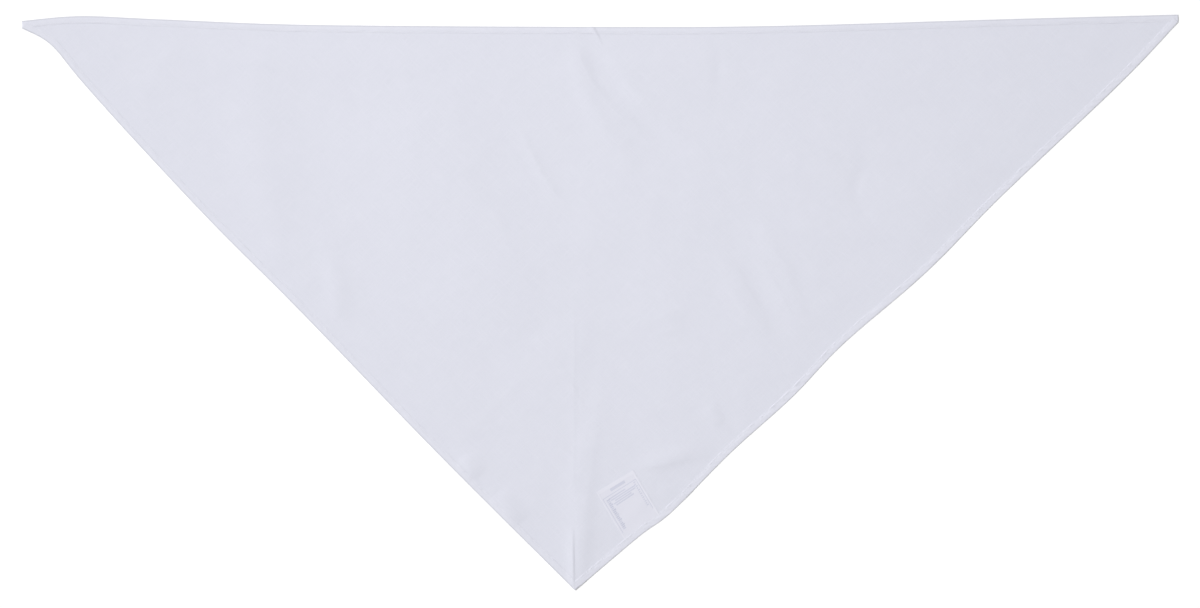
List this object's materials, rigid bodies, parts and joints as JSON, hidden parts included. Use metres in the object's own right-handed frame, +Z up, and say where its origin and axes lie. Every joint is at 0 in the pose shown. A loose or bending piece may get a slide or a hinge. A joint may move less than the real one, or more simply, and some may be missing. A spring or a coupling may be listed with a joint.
{
  "type": "arm sling",
  "caption": "Triangular arm sling of plain white woven cotton, laid flat, with turned and stitched hems and a small sewn-in care label near the point.",
  "frame": {"origin": "under the middle of the outline, on the surface that the cloth lies on", "axes": "+X along the long edge, towards the viewer's right; +Y from the point towards the long edge; +Z up, out of the side that the hems are turned to"},
  "size_m": [1.2714, 0.6329, 0.0012],
  "materials": {
    "cloth": "matte plain-weave cotton",
    "hem": "matte plain-weave cotton, three layers thick",
    "thread": "soft spun sewing thread",
    "label": "smooth woven tape with grey print"
  },
  "bodies": {
    "right_half": {"cloth_right": "cloth", "hem_long_right": "hem", "hem_leg_right": "hem", "needle_thread_long_right": "thread", "needle_thread_leg_right": "thread", "bobbin_thread_long_right": "thread", "bobbin_thread_leg_right": "thread", "label_tucked_end": "label"},
    "left_half": {"cloth_left": "cloth", "hem_long_left": "hem", "hem_leg_left": "hem", "needle_thread_long_left": "thread", "needle_thread_leg_left": "thread", "bobbin_thread_long_left": "thread", "bobbin_thread_leg_left": "thread"},
    "label_flap": {"label": "label"}
  },
  "joints": [
    {"name": "centre_fold", "type": "hinge", "parent": "right_half", "child": "left_half", "pos_m": [-0.01775, -0.00675, 0.0046], "axis": [0.0315, 0.9995, 0], "range_deg": [0, 180]},
    {"name": "label_turn", "type": "hinge", "parent": "right_half", "child": "label_flap", "pos_m": [0.0443, -0.24545, 0.0015], "axis": [0.793, 0.6092, 0], "range_deg": [0, 150]}
  ]
}
